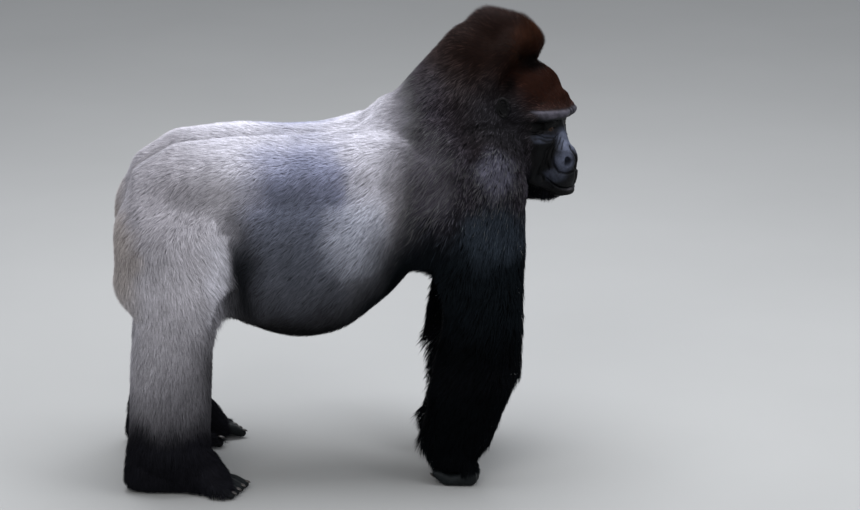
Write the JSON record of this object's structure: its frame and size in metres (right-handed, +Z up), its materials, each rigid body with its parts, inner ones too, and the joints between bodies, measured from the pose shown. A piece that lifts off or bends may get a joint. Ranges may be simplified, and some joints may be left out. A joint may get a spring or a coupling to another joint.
{
  "type": "gorilla figure",
  "caption": "Life-size adult male silverback gorilla standing still on all fours, head turned a little to its right",
  "frame": {"origin": "the middle of the bounding box's footprint, on the floor that the hands and feet stand on", "axes": "+X towards the head, +Y to the animal's left, +Z up"},
  "size_m": [1.1942, 0.6, 1.2218],
  "materials": {
    "head": "short dense reddish-brown coat over the skull, bare dark face",
    "neck": "dense dark brown coat",
    "chest": "dark speckled coat",
    "abdomen": "short grey saddle coat",
    "pelvis": "pale silver-grey coat",
    "upper_arm_right": "long black-brown coat",
    "forearm_right": "long shaggy black coat",
    "hand_right": "bare wrinkled black skin",
    "thigh_right": "pale silver-grey coat",
    "shin_right": "grey coat darkening to the ankle",
    "foot_right": "bare wrinkled black skin",
    "eye_right": "wet dark brown eye",
    "ear_right": "bare dark skin with short hairs",
    "upper_arm_left": "long black-brown coat",
    "forearm_left": "long shaggy black coat",
    "hand_left": "bare wrinkled black skin",
    "thigh_left": "pale silver-grey coat",
    "shin_left": "grey coat darkening to the ankle",
    "foot_left": "bare wrinkled black skin",
    "eye_left": "wet dark brown eye",
    "ear_left": "bare dark skin with short hairs"
  },
  "bodies": {
    "root": {"head": "head", "neck": "neck", "chest": "chest", "abdomen": "abdomen", "pelvis": "pelvis", "upper_arm_right": "upper_arm_right", "forearm_right": "forearm_right", "hand_right": "hand_right", "thigh_right": "thigh_right", "shin_right": "shin_right", "foot_right": "foot_right", "eye_right": "eye_right", "ear_right": "ear_right", "upper_arm_left": "upper_arm_left", "forearm_left": "forearm_left", "hand_left": "hand_left", "thigh_left": "thigh_left", "shin_left": "shin_left", "foot_left": "foot_left", "eye_left": "eye_left", "ear_left": "ear_left"}
  },
  "joints": []
}
